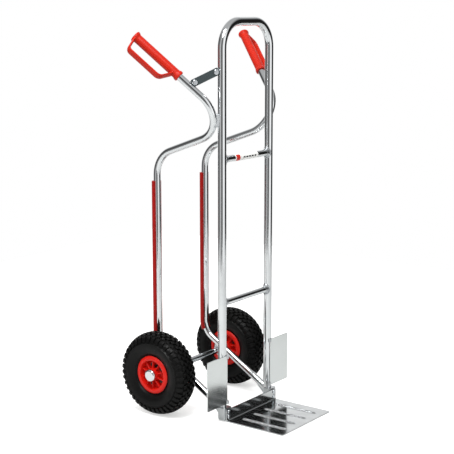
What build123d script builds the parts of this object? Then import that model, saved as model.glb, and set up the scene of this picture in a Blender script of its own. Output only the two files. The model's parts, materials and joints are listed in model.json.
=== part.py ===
from build123d import *
import math
import os

# Two-wheeled hand truck with a tall hoop frame, swept-back handle tubes and a toe plate.
# Frame: +Z up, +Y to the back, the toe plate faces -Y, X across. The origin is on the
# floor at the middle of the footprint. Millimetres.

# Hoop frame and crossbars
hoop_y = -47.5
hoop_half_width = 120.0
hoop_diameter = 26.0
hoop_wall = 2.0
hoop_top = 1201.0
hoop_bend = 78.0
hoop_foot = 4.0
crossbar_heights = {"upper_crossbar": 800.0, "lower_crossbar": 366.0}
crossbar_diameter = 20.0
crossbar_wall = 2.0
collar_flare_height = 36.0
collar_flare_width = 23.0
collar_length = 20.0

# Handle tubes: one bent tube on each side
handle_diameter = 22.0
handle_wall = 2.0
rear_y = hoop_y + 250.0
lower_corner_z = 189.0
diagonal_slope = 0.613
upper_corner_z = 794.0
front_corner = Vector(129.5, hoop_y - 51.3, 901.0)
grip_direction = Vector(138.3, 256.8, 259.3).normalized()
lower_bend = 62.0
upper_bend = 82.0
front_bend = 85.0

# Grips with knuckle guards, measured along the handle from its front corner
grip_start = 214.0
grip_length = 176.0
grip_radius = 13.8
grip_collar_radius = 16.0
grip_flange_radius = 17.0
grip_end_wall = 7.0
guard_offset = 56.0
guard_angle = 18.0
guard_thickness = 7.5
guard_width = 23.0

# Wheels
axle_y = hoop_y + 195.5
wheel_radius = 130.0
wheel_center_x = 188.0
axle_radius = 10.0
axle_half_length = 228.0
tyre_half_width = 42.5
bead_radius = 52.0
rim_lip_radius = 59.5
rim_lip_x = 34.0
rim_web_x = 16.0
rim_web_thickness = 5.0
rim_pocket_radius = 42.0
hub_half_length = 36.0
hub_radius = 20.0
bearing_radius = 15.0
bearing_length = 12.0
running_clearance = 0.04
side_clearance = 0.4
cap_start = 38.2
cap_height = 7.8
cap_radius = 19.5
cap_edge_radius = 6.5
rib_count = 10
rib_circle = 32.5
rib_length = 27.0
rib_thickness = 2.8
rib_depth = 16.0
bolt_count = 5
rim_bolt_circle = 31.0
rim_bolt_head_radius = 5.5
rim_nut_height = 4.5
valve_angle = 77.0
valve_radius = 4.0
valve_body_length = 12.0
valve_tip_length = 4.0
valve_root_radius = 57.0
valve_x = 20.0

# Toe plate
toe_half_width = 132.0
toe_back = hoop_y - 21.6
toe_depth = 209.0
toe_thickness = 4.0
toe_flange_height = 38.0
toe_corner_radius = 5.0
rib_positions = [-87.0, -29.0, 29.0, 87.0]
press_rib_length = 160.0
press_rib_width = 18.0
press_rib_height = 3.0

# Wheel guards
guard_plate_inner = 114.0
guard_plate_outer = 213.0
guard_plate_bottom = 51.0
guard_plate_top = 204.0
guard_plate_thickness = 2.5
guard_plate_corner = 3.5

# Struts between the hoop and the handle tubes
strut_hoop_z = 1057.0
strut_handle_distance = 172.0
strut_thickness = 5.0
strut_height = 22.0
strut_plane_offset = 8.0
strut_bolt_gap = 6.5
lug_height = 16.0
lug_reach = 26.0
strut_hoop_rise = 14.0
bolt_radius = 3.0
strut_head_radius = 8.0
strut_head_height = 3.6
strut_nut_height = 4.0
shank_excess = 4.5

hoop_radius = hoop_diameter / 2
handle_radius = handle_diameter / 2
crossbar_radius = crossbar_diameter / 2
hoop_axis_right = Vector(hoop_half_width, hoop_y, 0)
axle_point = Vector(hoop_half_width, axle_y, wheel_radius)


def save(piece, name):
    piece.part.label = name
    export_step(piece.part, f"parts/{name}.step")


def mirrored(right_piece):
    with BuildPart() as left_piece:
        mirror(right_piece.part, about=Plane.YZ)
    return left_piece


def save_pair(right_piece, name):
    save(right_piece, f"{name}_right")
    save(mirrored(right_piece), f"{name}_left")


def swept_round(route, radius, inner_radius=0):
    with BuildPart() as piece:
        with BuildSketch(Plane(origin=route @ 0, z_dir=route % 0)):
            Circle(radius)
            if inner_radius:
                Circle(inner_radius, mode=Mode.SUBTRACT)
        sweep(path=route)
    return piece


def crossbar(height):
    with BuildPart() as piece:
        with BuildSketch(Plane.YZ.offset(-hoop_half_width)):
            with Locations((hoop_y, height)):
                Circle(crossbar_radius)
                Circle(crossbar_radius - crossbar_wall, mode=Mode.SUBTRACT)
        extrude(amount=2 * hoop_half_width)
        add(hoop_envelope.part, mode=Mode.SUBTRACT)
    return piece


os.makedirs("parts", exist_ok=True)

# ---------------------------------------------------------------- hoop and crossbars
with BuildLine(Plane.XZ.offset(-hoop_y)) as hoop_route:
    FilletPolyline(
        (-hoop_half_width, hoop_foot),
        (-hoop_half_width, hoop_top),
        (hoop_half_width, hoop_top),
        (hoop_half_width, hoop_foot),
        radius=hoop_bend,
    )
hoop_frame = swept_round(hoop_route.line, hoop_radius, hoop_radius - hoop_wall)
hoop_envelope = swept_round(hoop_route.line, hoop_radius)
save(hoop_frame, "hoop_frame")

for bar_name, bar_height in crossbar_heights.items():
    save(crossbar(bar_height), bar_name)

with BuildPart() as crossbar_collars:
    for bar_height in crossbar_heights.values():
        for side in (-1, 1):
            collar_plane = Plane(
                origin=(side * (hoop_half_width - 4), hoop_y, bar_height),
                x_dir=(0, 1, 0),
                z_dir=(-side, 0, 0),
            )
            with BuildSketch(collar_plane):
                Ellipse(collar_flare_width / 2, collar_flare_height / 2)
            with BuildSketch(collar_plane.offset(collar_length)):
                Circle(crossbar_radius + 0.5)
            loft()
    for bar_height in crossbar_heights.values():
        with Locations(Location((0, hoop_y, bar_height), (0, 90, 0))):
            Cylinder(crossbar_radius, 2 * hoop_half_width, mode=Mode.SUBTRACT)
    add(hoop_envelope.part, mode=Mode.SUBTRACT)
save(crossbar_collars, "crossbar_collars")

sticker_start = -64.0
sticker_length = 114.0
sticker_thickness = 0.4
with BuildPart() as blank_sticker:
    with BuildSketch(Plane.YZ.offset(sticker_start)):
        with Locations((hoop_y, crossbar_heights["upper_crossbar"])):
            Circle(crossbar_radius + sticker_thickness)
            Circle(crossbar_radius, mode=Mode.SUBTRACT)
        with Locations((hoop_y + crossbar_radius, crossbar_heights["upper_crossbar"])):
            Rectangle(2 * crossbar_radius, 3 * crossbar_radius, mode=Mode.SUBTRACT)
    extrude(amount=sticker_length)
save(blank_sticker, "blank_sticker")

with BuildPart() as hoop_foot_plugs:
    with BuildSketch(Plane.XY.offset(hoop_foot)):
        with Locations((-hoop_half_width, hoop_y), (hoop_half_width, hoop_y)):
            Circle(hoop_radius - hoop_wall)
    extrude(amount=12)
save(hoop_foot_plugs, "hoop_foot_plugs")

# ---------------------------------------------------------------- handle tubes
foot_z = lower_corner_z - diagonal_slope * (rear_y - hoop_y)
handle_end = front_corner + grip_direction * (grip_start + grip_length - grip_end_wall - 1)
with BuildLine() as handle_route:
    FilletPolyline(
        (hoop_half_width, hoop_y, foot_z),
        (hoop_half_width, rear_y, lower_corner_z),
        (hoop_half_width, rear_y, upper_corner_z),
        front_corner,
        handle_end,
        radius=[lower_bend, upper_bend, front_bend],
    )
handle_envelope = swept_round(handle_route.line, handle_radius)
handle_tube = swept_round(handle_route.line, handle_radius, handle_radius - handle_wall)
with handle_tube:
    add(hoop_envelope.part, mode=Mode.SUBTRACT)
save_pair(handle_tube, "handle_tube")

# The welded lug where each handle tube passes its hoop tube
lug_center_z = 916.0
lug_length = 40.0
lug_thickness = 14.0
to_handle = Vector(22.8, 14.6, 0).normalized()
with BuildPart() as handle_lug:
    with BuildSketch(
        Plane(
            origin=(hoop_half_width, hoop_y, lug_center_z),
            x_dir=(0, 0, 1),
            z_dir=to_handle,
        )
    ):
        SlotOverall(lug_length, lug_thickness)
    extrude(amount=27)
    add(hoop_envelope.part, mode=Mode.SUBTRACT)
    add(handle_envelope.part, mode=Mode.SUBTRACT)
save_pair(handle_lug, "handle_lug")

# Slide strips: a C-shaped plastic cover on the back of each rear tube
strip_top = 716.0
strip_thickness = 6.0
strip_bend_angle = 25.0
diagonal_angle = math.atan(diagonal_slope)
lower_tangent = lower_bend * math.tan((math.pi / 2 - diagonal_angle) / 2)
with BuildLine(Plane.YZ.offset(hoop_half_width)) as strip_route:
    bend_start = (rear_y, lower_corner_z + lower_tangent)
    Line((rear_y, strip_top), bend_start)
    JernArc(start=bend_start, tangent=(0, -1), radius=lower_bend, arc_size=-strip_bend_angle)
with BuildPart() as slide_strip:
    strip_path = strip_route.line
    with BuildSketch(Plane(origin=strip_path @ 0, x_dir=(1, 0, 0), z_dir=(0, 0, -1))):
        Circle(handle_radius + strip_thickness)
        Circle(handle_radius, mode=Mode.SUBTRACT)
        with Locations((0, handle_diameter / 2 + 2)):
            Rectangle(2 * handle_diameter, handle_diameter, mode=Mode.SUBTRACT)
    sweep(path=strip_path)
save_pair(slide_strip, "slide_strip")

# ---------------------------------------------------------------- grips
guard_turn = math.radians(guard_angle)
level_out = (Vector(1, 0, 0) - grip_direction * grip_direction.X).normalized()
guard_side = level_out * math.cos(guard_turn) + grip_direction.cross(level_out) * math.sin(guard_turn)
grip_origin = front_corner + grip_direction * grip_start
grip_plane = Plane(origin=grip_origin, x_dir=grip_direction, z_dir=grip_direction.cross(guard_side))
with BuildPart() as grip:
    with BuildSketch(grip_plane):
        with BuildLine():
            Polyline(
                (0, handle_radius),
                (0, grip_collar_radius - 1),
                (1, grip_collar_radius),
                (8, grip_collar_radius),
                (12, grip_radius),
                (grip_length - 12, grip_radius),
                (grip_length - 7, grip_flange_radius),
                (grip_length - 1.5, grip_flange_radius),
                (grip_length, grip_flange_radius - 2),
                (grip_length, 0),
                (grip_length - grip_end_wall, 0),
                (grip_length - grip_end_wall, handle_radius),
                close=True,
            )
        make_face()
    revolve(axis=Axis(grip_origin, grip_direction))
    with BuildLine(grip_plane) as guard_route:
        FilletPolyline(
            (22, handle_radius + 2),
            (40, guard_offset),
            (grip_length - 17, guard_offset),
            (grip_length - 7, handle_radius + 2),
            radius=[18, 14],
        )
    with BuildSketch(
        Plane(
            origin=guard_route.line @ 0,
            x_dir=grip_plane.z_dir,
            z_dir=guard_route.line % 0,
        )
    ):
        Ellipse(guard_width / 2, guard_thickness / 2)
    sweep(path=guard_route.line)
save_pair(grip, "grip")

# ---------------------------------------------------------------- struts
strut_handle_axis = front_corner + grip_direction * strut_handle_distance
strut_hoop_axis = hoop_axis_right + Vector(0, 0, strut_hoop_z + strut_hoop_rise)
level_along = strut_handle_axis - strut_hoop_axis
level_along = Vector(level_along.X, level_along.Y, 0).normalized()
strut_front = level_along.cross(Vector(0, 0, 1))
hoop_bolt_point = (
    strut_hoop_axis
    + level_along * (hoop_radius + strut_bolt_gap)
    + strut_front * strut_plane_offset
    - Vector(0, 0, strut_hoop_rise)
)
toward_hoop = hoop_bolt_point - strut_handle_axis
toward_hoop = (toward_hoop - grip_direction * toward_hoop.dot(grip_direction)).normalized()
handle_bolt_point = (
    strut_handle_axis
    + toward_hoop * (handle_radius + strut_bolt_gap)
    + strut_front * strut_plane_offset
)
strut_span = (handle_bolt_point - hoop_bolt_point).length
strut_plane = Plane(
    origin=(hoop_bolt_point + handle_bolt_point) * 0.5,
    x_dir=handle_bolt_point - hoop_bolt_point,
    z_dir=(handle_bolt_point - hoop_bolt_point).cross(Vector(0, 0, 1)),
)
bolt_spots = [(-strut_span / 2, 0), (strut_span / 2, 0)]
strut_face = strut_plane.offset(-strut_thickness / 2)
lug_face = strut_face.offset(-strut_thickness)
with BuildPart() as strut:
    with BuildSketch(strut_face):
        RectangleRounded(strut_span + 2 * strut_bolt_gap + 4, strut_height, 2.5)
        with Locations(*bolt_spots):
            Circle(bolt_radius, mode=Mode.SUBTRACT)
    extrude(amount=strut_thickness)
    add(hoop_envelope.part, mode=Mode.SUBTRACT)
    add(handle_envelope.part, mode=Mode.SUBTRACT)
save_pair(strut, "strut")

with BuildPart() as strut_lugs:
    with BuildSketch(lug_face):
        for sign in (-1, 1):
            with Locations((sign * (strut_span / 2 - 8 + lug_reach / 2), 0)):
                RectangleRounded(lug_reach, lug_height, 4)
        with Locations(*bolt_spots):
            Circle(bolt_radius, mode=Mode.SUBTRACT)
    extrude(amount=strut_thickness)
    add(hoop_envelope.part, mode=Mode.SUBTRACT)
    add(handle_envelope.part, mode=Mode.SUBTRACT)
save_pair(strut_lugs, "strut_lugs")

with BuildPart() as strut_bolts:
    with BuildSketch(lug_face.offset(-shank_excess)):
        with Locations(*bolt_spots):
            Circle(bolt_radius)
    extrude(amount=shank_excess + 2 * strut_thickness)
    with BuildSketch(strut_face.offset(strut_thickness)):
        with Locations(*bolt_spots):
            Circle(strut_head_radius)
    extrude(amount=strut_head_height)
    dome_edges = strut_bolts.edges().filter_by(GeomType.CIRCLE).group_by(SortBy.RADIUS)[-1]
    outer_edges = dome_edges.sort_by(Axis((0, 0, 0), strut_plane.z_dir))[-2:]
    fillet(outer_edges, radius=2.6)
save_pair(strut_bolts, "strut_bolts")

with BuildPart() as strut_nuts:
    with BuildSketch(lug_face.offset(-strut_nut_height)):
        with Locations(*bolt_spots):
            RegularPolygon(5.8, 6)
            Circle(bolt_radius, mode=Mode.SUBTRACT)
    extrude(amount=strut_nut_height)
save_pair(strut_nuts, "strut_nuts")

# ---------------------------------------------------------------- toe plate and its feet
flange_front = toe_back - toe_thickness
toe_front = toe_back - toe_depth
with BuildPart() as toe_plate:
    with BuildSketch(Plane.YZ.offset(-toe_half_width)):
        with BuildLine():
            Polyline(
                (toe_front, 0),
                (toe_back, 0),
                (toe_back, toe_flange_height),
                (flange_front, toe_flange_height),
                (flange_front, toe_thickness),
                (toe_front, toe_thickness),
                close=True,
            )
        make_face()
        fillet(vertices().sort_by_distance((-toe_half_width, toe_back, 0))[0], radius=7)
        fillet(vertices().sort_by_distance((-toe_half_width, flange_front, toe_thickness))[0], radius=3)
    extrude(amount=2 * toe_half_width)
    fillet(toe_plate.edges().filter_by(Axis.Z).group_by(Axis.Y)[0], radius=toe_corner_radius)
    fillet(toe_plate.edges().filter_by(Axis.Y).group_by(Axis.Z)[-1], radius=toe_corner_radius)
    with BuildSketch(Plane.XY.offset(toe_thickness)):
        with Locations(*[(x, flange_front - 20 - press_rib_length / 2) for x in rib_positions]):
            SlotOverall(press_rib_length, press_rib_width, rotation=90)
    extrude(amount=press_rib_height, taper=35)
    with BuildSketch(Plane.XY):
        with Locations(*[(x, flange_front - 20 - press_rib_length / 2) for x in rib_positions]):
            SlotOverall(press_rib_length - 6, press_rib_width - 6, rotation=90)
    extrude(amount=press_rib_height, taper=35, mode=Mode.SUBTRACT)

foot_bolt_heights = [14.0, 30.0]
foot_bolt_reach = 7.0
foot_width = 36.0
foot_height = 38.0
bolt_head_radius = 6.0
bolt_head_height = 3.0
foot_bolt_turn = (90, 0, 0)
shank_y = toe_back + (foot_bolt_reach - toe_thickness) / 2
with BuildPart() as toe_foot:
    with BuildSketch(Plane.XY.offset(hoop_foot)):
        with Locations((hoop_half_width, (toe_back + hoop_y + 2) / 2)):
            RectangleRounded(foot_width, hoop_y + 2 - toe_back, 3)
    extrude(amount=foot_height)
    add(hoop_envelope.part, mode=Mode.SUBTRACT)
    for z in foot_bolt_heights:
        with Locations(Location((hoop_half_width, toe_back + foot_bolt_reach / 2, z), foot_bolt_turn)):
            Cylinder(bolt_radius, foot_bolt_reach, mode=Mode.SUBTRACT)
save_pair(toe_foot, "toe_foot")

with BuildPart() as toe_bolts:
    for x in (-hoop_half_width, hoop_half_width):
        for z in foot_bolt_heights:
            with Locations(Location((x, flange_front - bolt_head_height / 2, z), foot_bolt_turn)):
                Cylinder(bolt_head_radius, bolt_head_height)
            with Locations(Location((x, shank_y, z), foot_bolt_turn)):
                Cylinder(bolt_radius, foot_bolt_reach + toe_thickness)
    head_edges = toe_bolts.edges().filter_by(GeomType.CIRCLE).group_by(Axis.Y)[0]
    fillet(head_edges, radius=2.2)
save(toe_bolts, "toe_bolts")

with toe_plate:
    add(toe_bolts.part, mode=Mode.SUBTRACT)
save(toe_plate, "toe_plate")

gusset_thickness = 4.0
with BuildPart() as foot_gusset:
    with BuildSketch(Plane.YZ.offset(hoop_half_width - gusset_thickness / 2)):
        Polygon(
            (hoop_y + 8, 12),
            (hoop_y + 72, foot_z + 72 * diagonal_slope),
            (hoop_y + 8, foot_z + 8 * diagonal_slope),
            align=None,
        )
    extrude(amount=gusset_thickness)
    add(hoop_envelope.part, mode=Mode.SUBTRACT)
    add(handle_envelope.part, mode=Mode.SUBTRACT)
save_pair(foot_gusset, "foot_gusset")

# ---------------------------------------------------------------- wheel guards
flat_width = guard_plate_outer - guard_plate_inner
flat_y = hoop_y - hoop_radius - guard_plate_thickness / 2
guard_plate_middle = (guard_plate_inner + guard_plate_outer) / 2
with BuildPart() as guard_plate:
    with BuildSketch(Plane.XY.offset(guard_plate_bottom)):
        with Locations((guard_plate_middle, flat_y)):
            Rectangle(flat_width, guard_plate_thickness)
    extrude(amount=guard_plate_top - guard_plate_bottom)
    fillet(guard_plate.edges().filter_by(Axis.Y), radius=guard_plate_corner)
save_pair(guard_plate, "guard_plate")

weld_radius = 5.0
weld_length = 10.0
weld_x = guard_plate_inner - 1
weld_y = hoop_y - hoop_radius - 1
with BuildPart() as guard_welds:
    for z in (guard_plate_bottom, guard_plate_top - weld_length):
        with BuildSketch(Plane.XY.offset(z)):
            with Locations((-weld_x, weld_y), (weld_x, weld_y)):
                Circle(weld_radius)
            with Locations((-hoop_half_width, hoop_y), (hoop_half_width, hoop_y)):
                Circle(hoop_radius, mode=Mode.SUBTRACT)
            with Locations((-guard_plate_middle, flat_y), (guard_plate_middle, flat_y)):
                Rectangle(flat_width, guard_plate_thickness, mode=Mode.SUBTRACT)
        extrude(amount=weld_length)
save(guard_welds, "guard_welds")

# ---------------------------------------------------------------- axle
with BuildPart() as axle:
    with BuildSketch(Plane.YZ.offset(-axle_half_length)):
        with Locations((axle_y, wheel_radius)):
            Circle(axle_radius)
            Circle(axle_radius - 3, mode=Mode.SUBTRACT)
    extrude(amount=2 * axle_half_length)
save(axle, "axle")

diagonal_unit = Vector(0, math.cos(diagonal_angle), math.sin(diagonal_angle))
diagonal_foot = Vector(hoop_half_width, hoop_y, foot_z)
under_tube = diagonal_foot + diagonal_unit * (axle_point - diagonal_foot).dot(diagonal_unit)
bracket_thickness = 8.0
with BuildPart() as axle_bracket:
    with BuildSketch(Plane.YZ.offset(hoop_half_width - bracket_thickness / 2)):
        with Locations((axle_y, wheel_radius)):
            Circle(axle_radius + 5)
        for along in (-24, 24):
            weld_end = under_tube + diagonal_unit * along
            with Locations((weld_end.Y, weld_end.Z)):
                Circle(1)
        make_hull()
        with Locations((axle_y, wheel_radius)):
            Circle(axle_radius, mode=Mode.SUBTRACT)
    extrude(amount=bracket_thickness)
    add(handle_envelope.part, mode=Mode.SUBTRACT)
save_pair(axle_bracket, "axle_bracket")


# ---------------------------------------------------------------- wheels
def on_axle(side, distance=0.0):
    """Plane across the axle, facing outwards, at a distance from the wheel's middle."""
    return Plane(
        origin=(side * (wheel_center_x + distance), axle_y, wheel_radius),
        x_dir=(0, 1, 0),
        z_dir=(side, 0, 0),
    )


def through_axle(side):
    """Plane through the axle: local x points outwards from the wheel's middle, local y up."""
    return Plane(
        origin=(side * wheel_center_x, axle_y, wheel_radius),
        x_dir=(side, 0, 0),
        z_dir=(0, -side, 0),
    )


axle_line = Axis((0, axle_y, wheel_radius), (1, 0, 0))


def ring(side, start, end, outer, inner):
    with BuildPart() as piece:
        with BuildSketch(on_axle(side, start)):
            Circle(outer)
            Circle(inner, mode=Mode.SUBTRACT)
        extrude(amount=end - start)
    return piece


def make_tyre(side):
    with BuildPart() as piece:
        with BuildSketch(through_axle(side)):
            with BuildLine():
                ThreePointArc((-37, 117), (0, wheel_radius), (37, 117))
                ThreePointArc((37, 117), (tyre_half_width, 92), (27.6, 60.4))
                Line((27.6, 60.4), (25.6, bead_radius + 0.2))
                Line((25.6, bead_radius + 0.2), (18, bead_radius + 0.2))
                Line((18, bead_radius + 0.2), (21, 62))
                ThreePointArc((21, 62), (35.5, 91), (29, 112))
                ThreePointArc((29, 112), (0, 122), (-29, 112))
                ThreePointArc((-29, 112), (-35.5, 91), (-21, 62))
                Line((-21, 62), (-18, bead_radius + 0.2))
                Line((-18, bead_radius + 0.2), (-25.6, bead_radius + 0.2))
                Line((-25.6, bead_radius + 0.2), (-27.6, 60.4))
                ThreePointArc((-27.6, 60.4), (-tyre_half_width, 92), (-37, 117))
            make_face()
        revolve(axis=axle_line)
    return piece


def make_inner_tube(side):
    with BuildPart() as piece:
        with BuildSketch(through_axle(side)):
            with Locations((0, 88)):
                Ellipse(28, 32)
                Ellipse(25.5, 29.5, mode=Mode.SUBTRACT)
        revolve(axis=axle_line)
    return piece


def make_rim_half(side, facing):
    """One half of the plastic rim; facing is 1 for the outer half and -1 for the inner one."""
    face = Plane(
        origin=(side * wheel_center_x, axle_y, wheel_radius),
        x_dir=(side * facing, 0, 0),
        z_dir=(0, -side * facing, 0),
    )
    with BuildPart() as piece:
        with BuildSketch(face):
            with BuildLine():
                Polyline(
                    (0, bearing_radius),
                    (hub_half_length, bearing_radius),
                    (hub_half_length, hub_radius),
                    (rim_web_x, hub_radius),
                    (rim_web_x, rim_pocket_radius),
                    (rim_lip_x, 46),
                    (rim_lip_x, rim_lip_radius - 7),
                    (rim_lip_x - 3, rim_lip_radius),
                    (27.5, rim_lip_radius),
                    (26.5, bead_radius - 0.3),
                    (12, bead_radius - 1.8),
                    (9, 46.5),
                    (0, 46.5),
                    (0, rim_pocket_radius),
                    (rim_web_x - rim_web_thickness, rim_pocket_radius),
                    (rim_web_x - rim_web_thickness, hub_radius + 2),
                    (0, hub_radius + 2),
                    close=True,
                )
            make_face()
        revolve(axis=axle_line)
        web_face = Plane(
            origin=(side * (wheel_center_x + facing * (rim_web_x - 0.5)), axle_y, wheel_radius),
            x_dir=(0, 1, 0),
            z_dir=(side * facing, 0, 0),
        )
        with BuildSketch(web_face):
            with PolarLocations(rib_circle, rib_count, start_angle=180 / rib_count):
                Rectangle(rib_length, rib_thickness)
        extrude(amount=rib_depth)
        with BuildSketch(web_face.offset(-rim_web_thickness - 1)):
            with PolarLocations(rim_bolt_circle, bolt_count):
                Circle(bolt_radius)
        extrude(amount=rim_web_thickness + rib_depth, mode=Mode.SUBTRACT)
    return piece


def make_rim_bolts(side):
    with BuildPart() as piece:
        with BuildSketch(on_axle(side, -rim_web_x - rim_nut_height - 0.5)):
            with PolarLocations(rim_bolt_circle, bolt_count):
                Circle(bolt_radius)
        extrude(amount=2 * rim_web_x + rim_nut_height + 0.5)
        with BuildSketch(on_axle(side, rim_web_x)):
            with PolarLocations(rim_bolt_circle, bolt_count):
                Circle(rim_bolt_head_radius)
        extrude(amount=3.5)
    return piece


def make_rim_nuts(side):
    with BuildPart() as piece:
        with BuildSketch(on_axle(side, -rim_web_x - rim_nut_height)):
            with PolarLocations(rim_bolt_circle, bolt_count):
                RegularPolygon(rim_bolt_head_radius, 6)
                Circle(bolt_radius, mode=Mode.SUBTRACT)
        extrude(amount=rim_nut_height)
    return piece


def make_hub_cap(side):
    with BuildPart() as piece:
        with BuildSketch(on_axle(side, cap_start)):
            Circle(cap_radius)
        extrude(amount=cap_height)
        outer_face = piece.faces().sort_by_distance((side * axle_half_length * 2, axle_y, wheel_radius))[0]
        fillet(outer_face.edges(), radius=cap_edge_radius)
        with BuildSketch(on_axle(side, cap_start)):
            Circle(axle_radius)
        extrude(amount=axle_half_length - wheel_center_x - cap_start, mode=Mode.SUBTRACT)
    return piece


washers = []
for side, side_name in ((-1, "left"), (1, "right")):
    valve_line = Vector(0, -math.cos(math.radians(valve_angle)), math.sin(math.radians(valve_angle)))
    valve_foot = Vector(side * (wheel_center_x + valve_x), axle_y, wheel_radius)
    valve_root = valve_foot + valve_line * valve_root_radius
    valve_plane = Plane(origin=valve_root, x_dir=(1, 0, 0), z_dir=valve_line * -1)
    with BuildPart() as valve:
        with BuildSketch(valve_plane):
            Circle(valve_radius)
        extrude(amount=valve_body_length)
        with BuildSketch(valve_plane.offset(valve_body_length)):
            Circle(valve_radius - 1)
        extrude(amount=valve_tip_length)
    rim_outer = make_rim_half(side, 1)
    with rim_outer:
        add(valve.part, mode=Mode.SUBTRACT)
    tyre = make_tyre(side)
    with tyre:
        add(valve.part, mode=Mode.SUBTRACT)
    inner_tube = make_inner_tube(side)
    with inner_tube:
        add(valve.part, mode=Mode.SUBTRACT)
    bore = axle_radius + running_clearance
    bearing_start = hub_half_length - bearing_length
    save(valve, f"valve_{side_name}")
    save(tyre, f"tyre_{side_name}")
    save(inner_tube, f"inner_tube_{side_name}")
    save(rim_outer, f"rim_outer_{side_name}")
    save(make_rim_half(side, -1), f"rim_inner_{side_name}")
    save(make_rim_bolts(side), f"rim_bolts_{side_name}")
    save(make_rim_nuts(side), f"rim_nuts_{side_name}")
    hub_sleeve = ring(side, -bearing_start, bearing_start, bearing_radius, bearing_radius - 2.5)
    bearing_outer = ring(side, bearing_start, hub_half_length, bearing_radius, bore)
    bearing_inner = ring(side, -hub_half_length, -bearing_start, bearing_radius, bore)
    save(hub_sleeve, f"hub_sleeve_{side_name}")
    save(bearing_outer, f"bearing_outer_{side_name}")
    save(bearing_inner, f"bearing_inner_{side_name}")
    save(make_hub_cap(side), f"hub_cap_{side_name}")
    spacer_start = hoop_half_width + handle_radius + 0.5 - wheel_center_x
    spacer = ring(side, spacer_start, -hub_half_length - side_clearance, 13, axle_radius)
    save(spacer, f"axle_spacer_{side_name}")
    washers.append(ring(side, hub_half_length + side_clearance, cap_start, 16, axle_radius))

with BuildPart() as axle_washers:
    for washer in washers:
        add(washer.part)
save(axle_washers, "axle_washers")
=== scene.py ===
import json
import math

import bmesh
import bpy
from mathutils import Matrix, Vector


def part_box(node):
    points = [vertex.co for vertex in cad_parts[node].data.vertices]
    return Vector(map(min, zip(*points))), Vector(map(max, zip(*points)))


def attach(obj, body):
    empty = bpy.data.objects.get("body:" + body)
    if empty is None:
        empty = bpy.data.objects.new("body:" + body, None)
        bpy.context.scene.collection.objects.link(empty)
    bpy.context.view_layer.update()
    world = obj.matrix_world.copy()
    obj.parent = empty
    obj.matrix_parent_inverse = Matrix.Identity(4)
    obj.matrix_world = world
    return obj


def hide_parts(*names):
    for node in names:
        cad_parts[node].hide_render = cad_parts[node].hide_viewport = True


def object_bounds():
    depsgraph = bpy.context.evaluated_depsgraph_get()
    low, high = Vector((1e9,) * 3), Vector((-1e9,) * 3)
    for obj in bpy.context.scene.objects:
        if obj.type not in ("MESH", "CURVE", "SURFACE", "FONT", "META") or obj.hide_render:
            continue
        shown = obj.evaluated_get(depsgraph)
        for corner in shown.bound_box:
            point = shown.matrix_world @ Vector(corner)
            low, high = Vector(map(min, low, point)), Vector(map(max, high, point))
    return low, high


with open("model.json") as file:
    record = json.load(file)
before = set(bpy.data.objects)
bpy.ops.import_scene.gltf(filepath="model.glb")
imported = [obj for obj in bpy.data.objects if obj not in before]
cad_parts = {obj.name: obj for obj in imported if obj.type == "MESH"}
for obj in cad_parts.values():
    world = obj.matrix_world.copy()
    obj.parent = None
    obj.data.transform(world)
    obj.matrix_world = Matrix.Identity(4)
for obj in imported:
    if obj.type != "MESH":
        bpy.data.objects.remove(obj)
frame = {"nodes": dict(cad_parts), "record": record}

scene = bpy.context.scene
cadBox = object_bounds()
mm = 0.001  # metres
nodes = frame["nodes"]
record = frame["record"]
slotOf = {part["node"]: part["material_slot"] for part in record["subparts"]}
bodyOf = {node: body for body, members in record["behaviour"]["bodies"].items() for node in members}
sideSign = {"left": -1, "right": 1}
print("frame loaded:", len(nodes), "nodes")


# Shading: colours are sRGB hex, turned to linear here.
def linearColour(hexColour):
    channels = [int(hexColour[i:i + 2], 16) / 255 for i in (0, 2, 4)]
    return [c / 12.92 if c <= 0.04045 else ((c + 0.055) / 1.055) ** 2.4 for c in channels] + [1.0]


def perMetre(sizeMm):
    return 1000 / sizeMm  # texture scale that gives one feature per sizeMm


def addNode(tree, kind, inputs=None, **settings):
    node = tree.nodes.new(kind)
    for key, value in settings.items():
        setattr(node, key, value)
    for socket, value in (inputs or {}).items():
        if isinstance(value, bpy.types.NodeSocket):
            tree.links.new(value, node.inputs[socket])
        else:
            node.inputs[socket].default_value = value
    return node


def newMaterial(name, **values):
    material = bpy.data.materials.new(name)
    material.use_nodes = True
    tree = material.node_tree
    tree.nodes.clear()
    shader = addNode(tree, "ShaderNodeBsdfPrincipled", values)
    addNode(tree, "ShaderNodeOutputMaterial", {"Surface": shader.outputs["BSDF"]})
    return material, tree, shader


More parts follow.
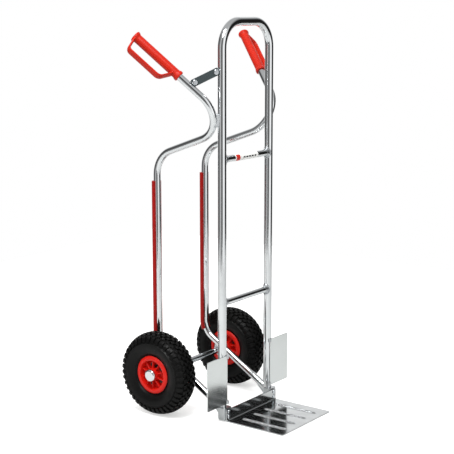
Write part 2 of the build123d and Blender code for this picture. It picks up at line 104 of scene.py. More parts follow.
def streakedMetal(look):
    # Metal with lines left along one axis by drawing, rolling or brushing, plus soft blotches of wear.
    material, tree, shader = newMaterial(look["name"], Metallic=1.0)
    place = addNode(tree, "ShaderNodeTexCoord")
    stretch = addNode(tree, "ShaderNodeMapping", {
        "Vector": place.outputs["Object"],
        "Scale": look["stretch"],
    })
    lines = addNode(tree, "ShaderNodeTexNoise", {
        "Vector": stretch.outputs["Vector"],
        "Scale": perMetre(look["lineMm"]),
        "Detail": 3.0,
    })
    blotch = addNode(tree, "ShaderNodeTexNoise", {
        "Vector": place.outputs["Object"],
        "Scale": perMetre(look["blotchMm"]),
        "Detail": 4.0,
    })
    mixed = addNode(tree, "ShaderNodeMath", {
        0: lines.outputs["Fac"],
        1: blotch.outputs["Fac"],
    }, operation="MULTIPLY")
    rough = addNode(tree, "ShaderNodeMapRange", {
        "Value": mixed.outputs["Value"],
        "From Min": 0.12,
        "From Max": 0.42,
        "To Min": look["roughness"][0],
        "To Max": look["roughness"][1],
    })
    tint = addNode(tree, "ShaderNodeMix", {
        "Factor": blotch.outputs["Fac"],
        "A": linearColour(look["colour"]),
        "B": linearColour(look["shade"]),
    }, data_type="RGBA")
    bump = addNode(tree, "ShaderNodeBump", {
        "Height": lines.outputs["Fac"],
        "Strength": look["bump"],
        "Distance": look["lineMm"] * mm * 0.1,
    })
    tree.links.new(tint.outputs[2], shader.inputs["Base Color"])
    tree.links.new(rough.outputs["Result"], shader.inputs["Roughness"])
    tree.links.new(bump.outputs["Normal"], shader.inputs["Normal"])
    return material


def grainedPlastic(look):
    # Moulded or extruded plastic and rubber: even colour with a slow drift, a fine skin texture.
    material, tree, shader = newMaterial(look["name"], IOR=look["ior"])
    shader.inputs["Specular IOR Level"].default_value = look["shine"]
    place = addNode(tree, "ShaderNodeTexCoord")
    grain = addNode(tree, "ShaderNodeTexNoise", {
        "Vector": place.outputs["Object"],
        "Scale": perMetre(look["grainMm"]),
        "Detail": 2.0,
    })
    drift = addNode(tree, "ShaderNodeTexNoise", {
        "Vector": place.outputs["Object"],
        "Scale": perMetre(look["driftMm"]),
        "Detail": 3.0,
    })
    tint = addNode(tree, "ShaderNodeMix", {
        "Factor": drift.outputs["Fac"],
        "A": linearColour(look["colour"]),
        "B": linearColour(look["shade"]),
    }, data_type="RGBA")
    rough = addNode(tree, "ShaderNodeMapRange", {
        "Value": drift.outputs["Fac"],
        "From Min": 0.3,
        "From Max": 0.7,
        "To Min": look["roughness"][0],
        "To Max": look["roughness"][1],
    })
    bump = addNode(tree, "ShaderNodeBump", {
        "Height": grain.outputs["Fac"],
        "Strength": look["bump"],
        "Distance": look["grainMm"] * mm * 0.15,
    })
    tree.links.new(tint.outputs[2], shader.inputs["Base Color"])
    tree.links.new(rough.outputs["Result"], shader.inputs["Roughness"])
    tree.links.new(bump.outputs["Normal"], shader.inputs["Normal"])
    return material


# Draw, rolling and brush lines are really about 0.2 mm apart; lineMm is coarser, so that they show.
metalLooks = {
    # drawn aluminium tube, polished: bright, faint draw lines along it
    "polished_aluminium": {
        "name": "drawnAluminium", "colour": "EDEFF0", "shade": "D9DCDE", "roughness": (0.05, 0.13),
        "lineMm": 0.9, "blotchMm": 35, "stretch": (1, 1, 0.02), "bump": 0.015},
    # welded aluminium, cleaned with a wire brush: duller than the tubes, rippled
    "weld_aluminium": {
        "name": "weldedAluminium", "colour": "D6D9DB", "shade": "AEB2B5", "roughness": (0.24, 0.5),
        "lineMm": 1.6, "blotchMm": 7, "stretch": (1, 1, 1), "bump": 0.5},
    # rolled aluminium sheet, mill finish: nearly a mirror, rolling lines front to back
    "rolled_aluminium": {
        "name": "rolledAluminium", "colour": "DADCDD", "shade": "BFC2C3", "roughness": (0.09, 0.19),
        "lineMm": 1.2, "blotchMm": 45, "stretch": (1, 0.02, 1), "bump": 0.008},
    # die-cast aluminium, tumbled: soft shine over a slightly uneven skin
    "cast_aluminium": {
        "name": "dieCastAluminium", "colour": "D2D5D6", "shade": "B4B8BA", "roughness": (0.16, 0.3),
        "lineMm": 1.6, "blotchMm": 9, "stretch": (1, 1, 1), "bump": 0.12},
    # satin anodised aluminium sheet: soft even sheen, upright brushing
    "satin_aluminium": {
        "name": "anodisedAluminium", "colour": "E9ECEC", "shade": "DEE2E1", "roughness": (0.15, 0.2),
        "lineMm": 0.8, "blotchMm": 60, "stretch": (1, 1, 0.02), "bump": 0.02},
    # zinc-plated steel, bright: cool tint, slight cloudiness
    "zinc_steel": {
        "name": "zincPlatedSteel", "colour": "DDE1E4", "shade": "C3C8CD", "roughness": (0.1, 0.2),
        "lineMm": 0.8, "blotchMm": 12, "stretch": (0.05, 1, 1), "bump": 0.02},
    # ground bearing steel: grey and even
    "bearing_steel": {
        "name": "groundBearingSteel", "colour": "B9BCBF", "shade": "9FA3A7", "roughness": (0.2, 0.3),
        "lineMm": 0.5, "blotchMm": 10, "stretch": (1, 1, 1), "bump": 0.1},
    # nickel-plated pressed cap: a clean mirror
    "bright_cap": {
        "name": "nickelPlatedSteel", "colour": "F2F3F3", "shade": "E2E4E5", "roughness": (0.05, 0.12),
        "lineMm": 2.0, "blotchMm": 20, "stretch": (1, 1, 1), "bump": 0.05},
    # turned brass: warm yellow, fine turning marks
    "valve_brass": {
        "name": "turnedBrass", "colour": "C9A25A", "shade": "A8813F", "roughness": (0.25, 0.4),
        "lineMm": 0.5, "blotchMm": 5, "stretch": (1, 1, 1), "bump": 0.1},
}
# zinc plate with painted shade, for the bolts and nuts down in the rims: dark grey, hardly shiny
shadedZincLook = {
    "name": "shadedZincSteel", "colour": "5A5553", "shade": "48403E", "roughness": (0.45, 0.6),
    "lineMm": 0.8, "blotchMm": 6, "stretch": (1, 1, 1), "bump": 0.1}
# The grain of a mould's skin is really 0.1 to 0.3 mm; grainMm is coarser, so that it shows.
plasticLooks = {
    # injection-moulded polyethylene: strong red, half gloss, faint orange peel
    "red_plastic": {
        "name": "mouldedPolyethylene", "colour": "BD2410", "shade": "B01B0A", "roughness": (0.3, 0.4),
        "ior": 1.51, "shine": 0.24, "grainMm": 1.4, "driftMm": 30, "bump": 0.03},
    # injection-moulded polypropylene: deeper red, half gloss
    "red_rim": {
        "name": "mouldedPolypropylene", "colour": "D41A0C", "shade": "C51208", "roughness": (0.3, 0.4),
        "ior": 1.49, "shine": 0.3, "grainMm": 1.2, "driftMm": 25, "bump": 0.03},
    # extruded soft PVC: dull dark red
    "red_strip": {
        "name": "extrudedPvc", "colour": "A20B05", "shade": "8E0904", "roughness": (0.4, 0.5),
        "ior": 1.53, "shine": 0.16, "grainMm": 0.8, "driftMm": 60, "bump": 0.05},
    # powder coat on steel bar: dark grey, fine orange peel
    "dark_strut": {
        "name": "powderCoatedSteel", "colour": "3A4345", "shade": "323A3C", "roughness": (0.4, 0.5),
        "ior": 1.5, "shine": 0.3, "grainMm": 0.9, "driftMm": 20, "bump": 0.1},
    # moulded black polyethylene: dull, plain
    "black_plastic": {
        "name": "blackPolyethylene", "colour": "171717", "shade": "101010", "roughness": (0.45, 0.6),
        "ior": 1.51, "shine": 0.3, "grainMm": 0.8, "driftMm": 15, "bump": 0.1},
    # vulcanised tyre rubber: near black, slightly uneven from the mould
    "tyre": {
        "name": "vulcanisedRubber", "colour": "0A0A09", "shade": "070707", "roughness": (0.36, 0.5),
        "ior": 1.52, "shine": 0.16, "grainMm": 0.9, "driftMm": 22, "bump": 0.1},
    # butyl inner tube: black, matt
    "tube_rubber": {
        "name": "butylRubber", "colour": "121212", "shade": "0D0D0D", "roughness": (0.5, 0.65),
        "ior": 1.52, "shine": 0.2, "grainMm": 0.8, "driftMm": 20, "bump": 0.1},
}
materialOf = {slotName: streakedMetal(look) for slotName, look in metalLooks.items()}
materialOf.update({slotName: grainedPlastic(look) for slotName, look in plasticLooks.items()})


# Printed vinyl sticker: white film with plain blocks of colour and no lettering.
stickerLook = {"film": "F1F1EE", "red": "C8281C", "dark": "2B2D2E", "roughness": 0.35,
               "redSpan": (0.03, 0.2), "darkSpan": (0.3, 0.94), "barMm": 4.6, "dashMm": 7.0}


def stickerFilm(look):
    material, tree, shader = newMaterial("printedVinyl", Roughness=look["roughness"])
    low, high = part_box("blank_sticker")
    place = addNode(tree, "ShaderNodeTexCoord")
    axes = addNode(tree, "ShaderNodeSeparateXYZ", {"Vector": place.outputs["Object"]})
    along = addNode(tree, "ShaderNodeMapRange", {
        "Value": axes.outputs["X"], "From Min": low.x, "From Max": high.x})

    def span(source, start, end):
        above = addNode(tree, "ShaderNodeMath", {0: source, 1: start}, operation="GREATER_THAN")
        below = addNode(tree, "ShaderNodeMath", {0: source, 1: end}, operation="LESS_THAN")
        return addNode(tree, "ShaderNodeMath", {
            0: above.outputs["Value"], 1: below.outputs["Value"]}, operation="MULTIPLY").outputs["Value"]

    middle = (low.z + high.z) / 2
    redBlock = addNode(tree, "ShaderNodeMath", {
        0: span(along.outputs["Result"], *look["redSpan"]),
        1: span(axes.outputs["Z"], middle - 2 * look["barMm"] * mm, middle + 2 * look["barMm"] * mm),
    }, operation="MULTIPLY")
    beat = addNode(tree, "ShaderNodeMath", {
        0: axes.outputs["X"], 1: look["dashMm"] * mm}, operation="PINGPONG")
    dashes = addNode(tree, "ShaderNodeMath", {
        0: span(beat.outputs["Value"], 0.25 * look["dashMm"] * mm, look["dashMm"] * mm),
        1: span(along.outputs["Result"], *look["darkSpan"])}, operation="MULTIPLY")
    darkBar = addNode(tree, "ShaderNodeMath", {
        0: dashes.outputs["Value"],
        1: span(axes.outputs["Z"], middle - look["barMm"] * mm / 2, middle + look["barMm"] * mm / 2),
    }, operation="MULTIPLY")
    first = addNode(tree, "ShaderNodeMix", {
        "Factor": redBlock.outputs["Value"], "A": linearColour(look["film"]), "B": linearColour(look["red"]),
    }, data_type="RGBA")
    second = addNode(tree, "ShaderNodeMix", {
        "Factor": darkBar.outputs["Value"], "A": first.outputs[2], "B": linearColour(look["dark"]),
    }, data_type="RGBA")
    tree.links.new(second.outputs[2], shader.inputs["Base Color"])
    return material


materialOf["sticker"] = stickerFilm(stickerLook)
for nodeName, obj in nodes.items():
    obj.data.materials.clear()
    obj.data.materials.append(materialOf[slotOf[nodeName]])
    obj.data.shade_smooth()
    obj.data.set_sharp_from_angle(angle=math.radians(30))
# painted shade: the rim bolts and nuts, down in the rims, take this dark grey zinc
shadedZinc = streakedMetal(shadedZincLook)
for nodeName in ("rim_bolts_left", "rim_bolts_right", "rim_nuts_left", "rim_nuts_right"):
    nodes[nodeName].data.materials[0] = shadedZinc
print("materials made:", len(materialOf))


def addPiece(name, mesh, nodeName, replaced=()):
    # The piece takes its body and finish from the CAD node nodeName.
    piece = bpy.data.objects.new(name, mesh)
    scene.collection.objects.link(piece)
    mesh.materials.clear()
    mesh.materials.append(materialOf[slotOf[nodeName]])
    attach(piece, bodyOf[nodeName])
    if replaced:
        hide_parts(*replaced)
    return piece


def finishMesh(mesh, bm, sharpDegrees=35):
    bmesh.ops.recalc_face_normals(bm, faces=bm.faces)
    bm.to_mesh(mesh)
    bm.free()
    mesh.shade_smooth()
    mesh.set_sharp_from_angle(angle=math.radians(sharpDegrees))


def addBevel(piece, widthMm, segments=2, degrees=35):
    bevel = piece.modifiers.new("roundedEdges", "BEVEL")
    bevel.width = widthMm * mm
    bevel.segments = segments
    bevel.limit_method = "ANGLE"
    bevel.angle_limit = math.radians(degrees)
    bevel.use_clamp_overlap = True


def gridFaces(bm, rings, closedRound=True, closedAlong=False):
    # Faces between rings of vertices that all have the same count.
    count = len(rings[0])
    pairs = list(zip(rings, rings[1:])) + ([(rings[-1], rings[0])] if closedAlong else [])
    for first, second in pairs:
        for i in range(count if closedRound else count - 1):
            j = (i + 1) % count
            bm.faces.new((first[i], first[j], second[j], second[i]))


def lathe(bm, profile, centre, side, segments):
    # profile holds (x, radius) in millimetres; x points outwards from the wheel's middle.
    rings = []
    for x, radius in profile:
        ring = []
        for i in range(segments):
            angle = 2 * math.pi * i / segments
            ring.append(bm.verts.new(centre + Vector((
                side * x * mm, radius * mm * math.cos(angle), radius * mm * math.sin(angle)))))
        rings.append(ring)
    gridFaces(bm, rings, closedAlong=True)


def circleThrough(a, b, c):
    (ax, ay), (bx, by), (cx, cy) = a, b, c
    d = 2 * (ax * (by - cy) + bx * (cy - ay) + cx * (ay - by))
    ux = ((ax**2 + ay**2) * (by - cy) + (bx**2 + by**2) * (cy - ay) + (cx**2 + cy**2) * (ay - by)) / d
    uy = ((ax**2 + ay**2) * (cx - bx) + (bx**2 + by**2) * (ax - cx) + (cx**2 + cy**2) * (bx - ax)) / d
    return ux, uy, math.hypot(ax - ux, ay - uy)


def softenedCopy(nodeName, voxelMm, smoothSteps):
    # The CAD shape remeshed and smoothed, so that its parts flow into each other as in a moulding.
    copy = bpy.data.objects.new(nodeName + "_copy", nodes[nodeName].data.copy())
    scene.collection.objects.link(copy)
    remesh = copy.modifiers.new("voxels", "REMESH")
    remesh.mode = "VOXEL"
    remesh.voxel_size = voxelMm * mm
    smooth = copy.modifiers.new("smooth", "SMOOTH")
    smooth.factor = 0.5
    smooth.iterations = smoothSteps
    graph = bpy.context.evaluated_depsgraph_get()
    mesh = bpy.data.meshes.new_from_object(copy.evaluated_get(graph))
    bpy.data.objects.remove(copy)
    mesh.shade_smooth()
    return mesh


def edgedCopy(nodeName, pieceName, widthMm, degrees=35):
    # The CAD shape with its razor edges broken by a small bevel.
    bm = bmesh.new()
    bm.from_mesh(nodes[nodeName].data)
    bmesh.ops.remove_doubles(bm, verts=bm.verts, dist=1e-6)
    bmesh.ops.dissolve_limit(bm, angle_limit=math.radians(0.5), verts=bm.verts, edges=bm.edges)
    mesh = bpy.data.meshes.new(pieceName)
    finishMesh(mesh, bm)
    piece = addPiece(pieceName, mesh, nodeName, [nodeName])
    addBevel(piece, widthMm, 2, degrees)
    return piece


tyreLook = {"treadDepth": 5.6, "shoulderDepth": 3.6, "shoulderEnd": 103.0, "ridgeRadius": 100.0,
            "blocks": 40, "segments": 160, "draft": 0.6, "edge": 0.6}
crownPoints = ((-37, 117), (0, 130), (37, 117))
wallPoints = ((37, 117), (42.5, 92), (27.6, 60.4))


def crownRadius(x, depth=0.0):
    cx, cy, radius = circleThrough(*crownPoints)
    return cy + math.sqrt((radius - depth) ** 2 - (x - cx) ** 2)


def wallX(r, depth=0.0):
    cx, cy, radius = circleThrough(*wallPoints)
    return cx + math.sqrt((radius - depth) ** 2 - (r - cy) ** 2)


def tyreProfile(look):
    depth, shoulder = look["treadDepth"], look["shoulderDepth"]
    half = [(x, crownRadius(x, depth)) for x in (0, 6, 12, 18, 24, 29, 33, 35.2)]
    half += [(wallX(r, shoulder), r) for r in (112, 109, 106, look["shoulderEnd"])]
    half += [(wallX(r), r) for r in (look["ridgeRadius"], 98.5)]
    half += [(wallX(r, 0.7), r) for r in (97.6, 94, 90, 86, 82, 78, 74, 70)]
    half += [(wallX(r), r) for r in (68.5, 67.0)]
    half += [(wallX(r, 0.8), r) for r in (65.8, 63, 61.2)]
    half += [(27.4, 60.4), (25.7, 53), (18.5, 52.6), (20.5, 60), (31, 74), (33, 92), (29, 108), (16, 117)]
    left = [(-x, r) for x, r in reversed(half) if x > 0]
    return left + half


def addTreadBlock(bm, stations, angle, width, skew, centre, side, look):
    # A block over the stations (x, radius, depth), from angle - width/2 to angle + width/2.
    rows = []
    for index, (x, radius, inX, inRadius) in enumerate(stations):
        lean = skew * (index / (len(stations) - 1) - 0.5)
        draft = look["draft"] / radius
        row = []
        for px, pr, pa in (
            (inX, inRadius, angle + lean - width / 2),
            (x, radius, angle + lean - width / 2 + draft),
            (x, radius, angle + lean),
            (x, radius, angle + lean + width / 2 - draft),
            (inX, inRadius, angle + lean + width / 2),
        ):
            row.append(bm.verts.new(centre + Vector((
                side * px * mm, pr * mm * math.cos(pa), pr * mm * math.sin(pa)))))
        rows.append(row)
    for first, second in zip(rows, rows[1:]):
        for i in range(5):
            j = (i + 1) % 5
            bm.faces.new((first[i], first[j], second[j], second[i]))
    bm.faces.new(rows[0])
    bm.faces.new(reversed(rows[-1]))


def crownStations(x0, x1, depth):
    stations = []
    for x in (x0, (x0 + x1) / 2, x1):
        stations.append((x, crownRadius(x), x, crownRadius(x, depth)))
    return stations


def shoulderStations(look):
    cx, cy, radius = circleThrough(*wallPoints)
    stations = [(x, crownRadius(x), x - 1.5, crownRadius(x, 6)) for x in (28.5, 33.0)]
    stations.append((37.0, 117.0, 33.0, 112.5))
    stations += [(wallX(r), r, wallX(r, 5), r - 0.8) for r in (113.0, 108.5, 104.5)]
    return stations


def wheelCentre(sideName):
    low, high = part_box("tyre_" + sideName)
    return Vector(((low.x + high.x) / 2, (low.y + high.y) / 2, high.z / 2))


def makeTyre(sideName, look):
    side = sideSign[sideName]
    nodeName = "tyre_" + sideName
    centre = wheelCentre(sideName)
    bm = bmesh.new()
    lathe(bm, tyreProfile(look), centre, side, look["segments"])
    casing = bpy.data.meshes.new("tyreCasing_" + sideName)
    finishMesh(casing, bm, 30)
    addPiece("tyreCasing_" + sideName, casing, nodeName, [nodeName])

    bm = bmesh.new()
    pitch = 2 * math.pi / look["blocks"]
    rows = (  # inner x, outer x, share of the pitch, skew in pitches, offset in pitches
        (-4.6, 4.6, 0.66, 0.22, 0.0),
        (7.0, 15.2, 0.62, -0.22, 0.5),
        (-15.2, -7.0, 0.62, -0.22, 0.5),
        (17.6, 25.8, 0.62, 0.22, 0.0),
        (-25.8, -17.6, 0.62, 0.22, 0.0),
    )
    for i in range(look["blocks"]):
        for x0, x1, share, skew, offset in rows:
            addTreadBlock(bm, crownStations(x0, x1, look["treadDepth"] + 1.5), (i + offset) * pitch,
                          pitch * share, skew * pitch, centre, side, look)
        for mirrored in (1, -1):
            stations = [(mirrored * a, b, mirrored * c, d) for a, b, c, d in shoulderStations(look)]
            addTreadBlock(bm, stations, (i + 0.5) * pitch, pitch * 0.58, 0, centre, side, look)
    tread = bpy.data.meshes.new("tyreTread_" + sideName)
    finishMesh(tread, bm, 35)
    piece = addPiece("tyreTread_" + sideName, tread, nodeName)
    addBevel(piece, look["edge"], 2, 40)


rimLook = {
    "ribs": 10, "ribWidth": 2.6, "segments": 96,
    "profile": (  # x outwards from the split plane, radius; millimetres
        (0.3, 15.1), (35.4, 15.1), (36.0, 15.7), (36.0, 19.0), (35.0, 20.0), (19.5, 21.0), (17.3, 22.0),
        (16.5, 24.5), (16.5, 38.5), (17.3, 41.0), (19.5, 42.2), (30.5, 44.6), (33.0, 45.6), (34.0, 47.4),
        (34.0, 50.5), (33.5, 53.6), (32.3, 56.4), (31.0, 58.6), (29.6, 59.5), (28.2, 58.9), (26.4, 52.0),
        (12, 50.2), (9, 46.5), (0.3, 46.5), (0.3, 42.0), (11.0, 42.0), (11.0, 23.0), (0.3, 23.0)),
    "ribCorners": ((15.5, 18.0), (15.5, 44.2), (26.0, 44.9), (27.4, 43.4), (30.0, 21.0), (30.5, 18.0)),
}


def makeRimHalf(sideName, halfName, facing, look):
    side = sideSign[sideName]
    nodeName = f"rim_{halfName}_{sideName}"
    centre = wheelCentre(sideName)
    bm = bmesh.new()
    lathe(bm, look["profile"], centre, side * facing, look["segments"])
    corners = look["ribCorners"]
    for i in range(look["ribs"]):
        angle = 2 * math.pi * (i + 0.5) / look["ribs"]
        along = Vector((0, math.cos(angle), math.sin(angle)))
        across = Vector((0, -math.sin(angle), math.cos(angle)))
        half = look["ribWidth"] / 2
        loops = []
        for offset in (-half, half):
            loops.append([bm.verts.new(centre + Vector((side * facing * x * mm, 0, 0))
                                       + along * r * mm + across * offset * mm) for x, r in corners])
        bm.faces.new(loops[0])
        bm.faces.new(reversed(loops[1]))
        for a in range(len(corners)):
            b = (a + 1) % len(corners)
            bm.faces.new((loops[0][a], loops[1][a], loops[1][b], loops[0][b]))
    mesh = bpy.data.meshes.new(f"rim_{halfName}Moulding_{sideName}")
    finishMesh(mesh, bm, 32)
    piece = addPiece(mesh.name, mesh, nodeName, [nodeName])
    addBevel(piece, 0.5, 2, 50)


valveLook = {"forward": 8.0, "up": 24.0, "radius": 6.6, "base": 16.6, "height": 4.0, "segments": 40}


def makeValveCollarAndShade(sideName, look):
    # The dark rubber collar of the valve, seated in its oval opening in the web; its black disc across the
    # opening is painted shade, standing in for the shadow in the hole.
    side = sideSign[sideName]
    middle = wheelCentre(sideName) + Vector((0, -look["forward"], look["up"])) * mm
    base, top, radius = look["base"], look["base"] + look["height"], look["radius"]
    bm = bmesh.new()
    rings = []
    for x, r in ((base, radius), (top - 0.8, radius), (top, radius - 1.0), (top, radius - 2.0),
                 (top - 2.2, radius - 3.0), (top - 2.2, 0.6), (base, 0.6)):
        ring = []
        for i in range(look["segments"]):
            angle = 2 * math.pi * i / look["segments"]
            ring.append(bm.verts.new(middle + Vector((
                side * x, r * math.cos(angle), 1.25 * r * math.sin(angle))) * mm))
        rings.append(ring)
    gridFaces(bm, rings, closedAlong=True)
    mesh = bpy.data.meshes.new("valveCollarAndShade_" + sideName)
    finishMesh(mesh, bm)
    # painted shade: the black rubber disc closes the valve opening, where the hole is in shadow
    addPiece(mesh.name, mesh, "inner_tube_" + sideName)


for sideName in sideSign:
    makeTyre(sideName, tyreLook)
    makeValveCollarAndShade(sideName, valveLook)
    makeRimHalf(sideName, "outer", 1, rimLook)
    makeRimHalf(sideName, "inner", -1, rimLook)
print("wheels made")


gripLook = {"voxelMm": 1.1, "smoothSteps": 8}


def makeGrip(sideName, look):
    nodeName = "grip_" + sideName
    mesh = softenedCopy(nodeName, look["voxelMm"], look["smoothSteps"])
    mesh.name = "gripMoulding_" + sideName
    addPiece(mesh.name, mesh, nodeName, [nodeName])


for sideName in sideSign:
    makeGrip(sideName, gripLook)
print("grips made")


toeLook = {"thickness": 4.0, "cornerRadius": 5.0, "flangeCorner": 5.0, "bendRadius": 5.0, "stepsAcross": 150,
           "ribs": (-87.0, -29.0, 29.0, 87.0), "ribWidth": 17.0, "ribLength": 158.0, "ribHeight": 4.0,
           "ribStart": 22.0, "edge": 0.35}


def ribLift(x, fromBend, look):
    # Height of the pressed ribs at a point of the plate, with rounded ends and soft flanks.
    best = 0.0
    start = look["ribStart"] + look["ribWidth"] / 2
    end = look["ribStart"] + look["ribLength"] - look["ribWidth"] / 2
    for middle in look["ribs"]:
        along = min(max(fromBend, start), end)
        distance = math.hypot(x - middle, fromBend - along)
        reach = min(distance / (look["ribWidth"] / 2), 1.0)
        best = max(best, (1 + math.cos(math.pi * reach)) / 2)
    return best * look["ribHeight"]


def cornerCut(radius, along):
    # How far a rounded corner pulls the edge in, at a distance along from its end.
    return radius - math.sqrt(radius ** 2 - (radius - along) ** 2)


def makeToePlate(look):
    low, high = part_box("toe_plate")
    halfWidth = high.x / mm
    length = (high.y - low.y) / mm
    half = look["thickness"] / 2
    bend = look["bendRadius"]
    flatLength = length - half - bend
    path = [(flatLength * i / 110, half, 0.0) for i in range(111)]  # distance from the front, height, tilt
    for i in range(1, 9):
        tilt = math.pi / 2 * i / 8
        path.append((flatLength + bend * math.sin(tilt), half + bend * (1 - math.cos(tilt)), tilt))
    top = high.z / mm
    straight = top - half - bend
    for i in range(1, 17):
        path.append((flatLength + bend, half + bend + straight * i / 16, math.pi / 2))

    def widthAt(out, height, tilt):
        reach = halfWidth
        if out < look["cornerRadius"]:
            reach -= cornerCut(look["cornerRadius"], out)
        down = top - height
        if tilt > 1.5 and down < look["flangeCorner"]:
            reach -= cornerCut(look["flangeCorner"], down)
        return reach

    bm = bmesh.new()
    rings = []
    for out, height, tilt in path:
        reach = widthAt(out, height, tilt)
        upper, lower = [], []
        for i in range(look["stepsAcross"] + 1):
            x = reach * (2 * i / look["stepsAcross"] - 1)
            lift = ribLift(x, flatLength - out, look) if tilt == 0.0 else 0.0
            normal = Vector((0, -math.sin(tilt), math.cos(tilt)))
            middle = Vector((x, 0, height + lift)) * mm + Vector((0, low.y + out * mm, 0))
            upper.append(bm.verts.new(middle + normal * half * mm))
            lower.append(bm.verts.new(middle - normal * half * mm))
        rings.append(upper + lower[::-1])
    gridFaces(bm, rings)
    for ring in (rings[0], rings[-1]):
        count = len(ring)
        for i in range(look["stepsAcross"]):
            bm.faces.new((ring[i], ring[i + 1], ring[count - 2 - i], ring[count - 1 - i]))
    mesh = bpy.data.meshes.new("toePlateSheet")
    finishMesh(mesh, bm, 40)
    piece = addPiece("toePlateSheet", mesh, "toe_plate", ["toe_plate"])
    addBevel(piece, look["edge"], 2, 60)


makeToePlate(toeLook)
print("toe plate made")


weldLook = {"rippleMm": 2.6, "rippleDepth": 0.22, "sides": 10}
hoopLow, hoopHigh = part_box("hoop_frame")
hoopRadius = (hoopHigh.y - hoopLow.y) / 2
hoopX = hoopHigh.x - hoopRadius
hoopY = (hoopLow.y + hoopHigh.y) / 2


def weldBead(bm, points, radiusMm, closed, look):
    # A ripple-shaped bead along a line of points, in metres.
    line = [Vector(p) for p in points]
    if closed:
        line.append(line[0].copy())
    lengths = [(b - a).length for a, b in zip(line, line[1:])]
    total = sum(lengths)
    count = max(int(total / (look["rippleMm"] * mm)) * 4, 8)
    samples = []
    for k in range(count if closed else count + 1):
        target = total * k / count
        index = 0
        while index < len(lengths) - 1 and target > lengths[index]:
            target -= lengths[index]
            index += 1
        samples.append(line[index].lerp(line[index + 1], min(target / lengths[index], 1.0)))
    rings = []
    last = len(samples) - 1
    for k, point in enumerate(samples):
        before = samples[k - 1] if k or closed else point
        after = samples[(k + 1) % len(samples)] if k < last or closed else point
        direction = (after - before).normalized()
        helper = Vector((0, 0, 1)) if abs(direction.z) < 0.9 else Vector((1, 0, 0))
        first = direction.cross(helper).normalized()
        second = direction.cross(first)
        phase = (k % 4) / 4
        radius = radiusMm * mm * (1 - look["rippleDepth"] * phase)
        if not closed:
            radius *= min(1.0, 0.45 + 0.3 * min(k, last - k))
        ring = []
        for i in range(look["sides"]):
            angle = 2 * math.pi * i / look["sides"]
            ring.append(bm.verts.new(point + (first * math.cos(angle) + second * math.sin(angle)) * radius))
        rings.append(ring)
    gridFaces(bm, rings, closedAlong=closed)
    if not closed:
        bm.faces.new(rings[0])
        bm.faces.new(reversed(rings[-1]))


collarLook = {"halfHeight": 17.2, "halfWidth": 11.4, "length": 13.0, "beadMm": 2.0, "rings": 14,
              "segments": 72}


def makeCollars(look):
    # A flared sleeve where each crossbar meets a hoop tube, with a weld bead round its foot.
    bm = bmesh.new()
    for barName in ("upper_crossbar", "lower_crossbar"):
        low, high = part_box(barName)
        barZ = (low.z + high.z) / 2
        barRadius = (high.z - low.z) / 2 / mm
        for side in (-1, 1):
            rings, foot = [], []
            for k in range(look["rings"] + 1):
                t = k / look["rings"]
                flare = (1 - t) ** 2.4
                ry = barRadius + 0.25 + (look["halfWidth"] - barRadius) * flare
                rz = barRadius + 0.25 + (look["halfHeight"] - barRadius) * flare
                ring = []
                for i in range(look["segments"]):
                    angle = 2 * math.pi * i / look["segments"]
                    y, z = ry * math.cos(angle), rz * math.sin(angle)
                    start = hoopX / mm - math.sqrt((hoopRadius / mm) ** 2 - y * y) + 0.4
                    x = start - look["length"] * t
                    ring.append(Vector((side * x, y, z)) * mm + Vector((0, hoopY, barZ)))
                if k == 0:
                    foot = ring
                rings.append([bm.verts.new(p) for p in ring])
            inner = []
            for source, x in ((rings[-1], -1), (rings[0], 1)):
                ring = []
                for i, vert in enumerate(source):
                    angle = 2 * math.pi * i / look["segments"]
                    ring.append(bm.verts.new(Vector((
                        vert.co.x,
                        hoopY + (barRadius - 0.3) * mm * math.cos(angle),
                        barZ + (barRadius - 0.3) * mm * math.sin(angle)))))
                inner.append(ring)
            gridFaces(bm, rings + inner, closedAlong=True)
            weldBead(bm, foot, look["beadMm"], True, weldLook)
    mesh = bpy.data.meshes.new("crossbarCollars")
    finishMesh(mesh, bm, 60)
    addPiece("crossbarCollars", mesh, "crossbar_collars", ["crossbar_collars"])


makeCollars(collarLook)
print("collars made")


edgeWidths = {"strut": 0.6, "strut_lugs": 0.5, "guard_plate": 0.5, "toe_foot": 0.9, "axle_bracket": 0.6,
              "foot_gusset": 0.4}
for nodeStem, widthMm in edgeWidths.items():
    for sideName in sideSign:
        edgedCopy(f"{nodeStem}_{sideName}", f"{nodeStem}Edged_{sideName}", widthMm)
print("edges broken")


stageLook = {"paper": "F4F4F3", "paperShade": "EFEFEE", "mirrored": "D3D4D3", "floorSize": 2.2, "glow": 0.55}
material, tree, shader = newMaterial("floorPaper", Roughness=0.9)
place = addNode(tree, "ShaderNodeTexCoord")
fibre = addNode(tree, "ShaderNodeTexNoise", {"Vector": place.outputs["Object"], "Scale": perMetre(400)})
tone = addNode(tree, "ShaderNodeMix", {
    "Factor": fibre.outputs["Fac"], "A": linearColour(stageLook["paper"]),
    "B": linearColour(stageLook["paperShade"])}, data_type="RGBA")
rays = addNode(tree, "ShaderNodeLightPath")
seenTone = addNode(tree, "ShaderNodeMix", {
    "Factor": rays.outputs["Is Camera Ray"], "A": linearColour(stageLook["mirrored"]), "B": tone.outputs[2],
}, data_type="RGBA")
glow = addNode(tree, "ShaderNodeMath", {
    0: rays.outputs["Is Camera Ray"], 1: stageLook["glow"]}, operation="MULTIPLY")
shader.inputs["Emission Color"].default_value = linearColour(stageLook["paper"])
tree.links.new(seenTone.outputs[2], shader.inputs["Base Color"])
tree.links.new(glow.outputs["Value"], shader.inputs["Emission Strength"])
bm = bmesh.new()
bmesh.ops.create_grid(bm, x_segments=4, y_segments=4, size=stageLook["floorSize"])
floorMesh = bpy.data.meshes.new("floor")
bm.to_mesh(floorMesh)
bm.free()
floor = bpy.data.objects.new("floor", floorMesh)
scene.collection.objects.link(floor)
floor.location.z = -0.0003
floorMesh.materials.append(material)

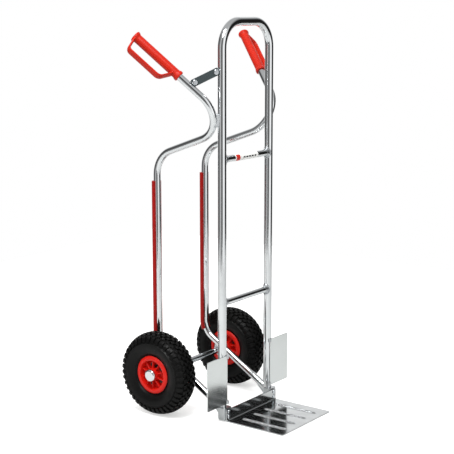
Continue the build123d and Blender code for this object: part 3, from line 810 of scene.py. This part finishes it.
skyLook = {
    "seen": 1.0,  # the backdrop itself
    "diffuse": 0.66,  # even light on matt surfaces
    "overhead": 0.5,
    "bands": (  # what shiny surfaces see round the horizon: turn from -X round to -X, brightness
        (0.0, 0.34), (0.03, 0.3), (0.075, 0.1), (0.11, 0.05), (0.14, 0.45), (0.17, 0.75), (0.21, 1.15),
        (0.275, 1.15), (0.31, 0.25), (0.33, 0.01), (0.43, 0.015), (0.49, 0.3), (0.53, 0.95), (0.66, 1.0),
        (0.71, 0.55), (0.75, 0.14), (0.82, 0.05), (0.86, 0.12), (0.9, 0.28), (0.95, 0.3), (1.0, 0.34)),
}
world = bpy.data.worlds.new("softStudio")
world.use_nodes = True
tree = world.node_tree
tree.nodes.clear()
place = addNode(tree, "ShaderNodeTexCoord")
axes = addNode(tree, "ShaderNodeSeparateXYZ", {"Vector": place.outputs["Generated"]})
turn = addNode(tree, "ShaderNodeMath", {0: axes.outputs["Y"], 1: axes.outputs["X"]}, operation="ARCTAN2")
around = addNode(tree, "ShaderNodeMapRange", {
    "Value": turn.outputs["Value"], "From Min": -math.pi, "From Max": math.pi})
bands = addNode(tree, "ShaderNodeValToRGB", {"Fac": around.outputs["Result"]})
bands.color_ramp.interpolation = "EASE"
for position, level in skyLook["bands"]:
    if position in (0.0, 1.0):
        stop = bands.color_ramp.elements[int(position)]
    else:
        stop = bands.color_ramp.elements.new(position)
    stop.color = (level, level, level, 1)
overhead = addNode(tree, "ShaderNodeMapRange", {
    "Value": axes.outputs["Z"], "From Min": 0.4, "From Max": 0.8})
dome = addNode(tree, "ShaderNodeMix", {
    "Factor": overhead.outputs["Result"], "A": bands.outputs["Color"],
    "B": (skyLook["overhead"],) * 3 + (1,)}, data_type="RGBA")
rays = addNode(tree, "ShaderNodeLightPath")
plain = addNode(tree, "ShaderNodeMix", {
    "Factor": rays.outputs["Is Diffuse Ray"], "A": dome.outputs[2],
    "B": (skyLook["diffuse"],) * 3 + (1,)}, data_type="RGBA")
seen = addNode(tree, "ShaderNodeMix", {
    "Factor": rays.outputs["Is Camera Ray"], "A": plain.outputs[2],
    "B": (skyLook["seen"],) * 3 + (1,)}, data_type="RGBA")
shine = addNode(tree, "ShaderNodeBackground", {"Color": seen.outputs[2], "Strength": 1.0})
addNode(tree, "ShaderNodeOutputWorld", {"Surface": shine.outputs["Background"]})
scene.world = world

middle = (cadBox[0] + cadBox[1]) / 2
softLights = {  # place from the object's middle and size in metres, power in watts, seen in reflections
    "keySoftbox": {"place": (-1.5, -0.8, 2.5), "size": 1.2, "watts": 70, "mirrored": True},
    "fillSoftbox": {"place": (-3.0, 0.8, 1.8), "size": 2.0, "watts": 30, "mirrored": False},
    "topSoftbox": {"place": (0.2, 0.6, 3.2), "size": 2.4, "watts": 30, "mirrored": False},
}
for name, values in softLights.items():
    lamp = bpy.data.lights.new(name, "AREA")
    lamp.shape = "SQUARE"
    lamp.size = values["size"]
    lamp.energy = values["watts"]
    holder = bpy.data.objects.new(name, lamp)
    scene.collection.objects.link(holder)
    holder.location = middle + Vector(values["place"])
    holder.rotation_euler = (middle - holder.location).to_track_quat("-Z", "Y").to_euler()
    holder.visible_glossy = values["mirrored"]

cameraLook = {"place": (-2.8842, -2.1225, 1.2345), "pitchDown": 10.416, "turnRight": 53.344, "lens": 93.75}
cameraData = bpy.data.cameras.new("camera")
cameraData.lens = cameraLook["lens"]
cameraData.sensor_width = 36.0
camera = bpy.data.objects.new("camera", cameraData)
scene.collection.objects.link(camera)
camera.location = cameraLook["place"]
camera.rotation_euler = (
    math.radians(90 - cameraLook["pitchDown"]), 0, -math.radians(cameraLook["turnRight"]))
scene.camera = camera
scene.view_settings.view_transform = "Standard"
print("stage made")
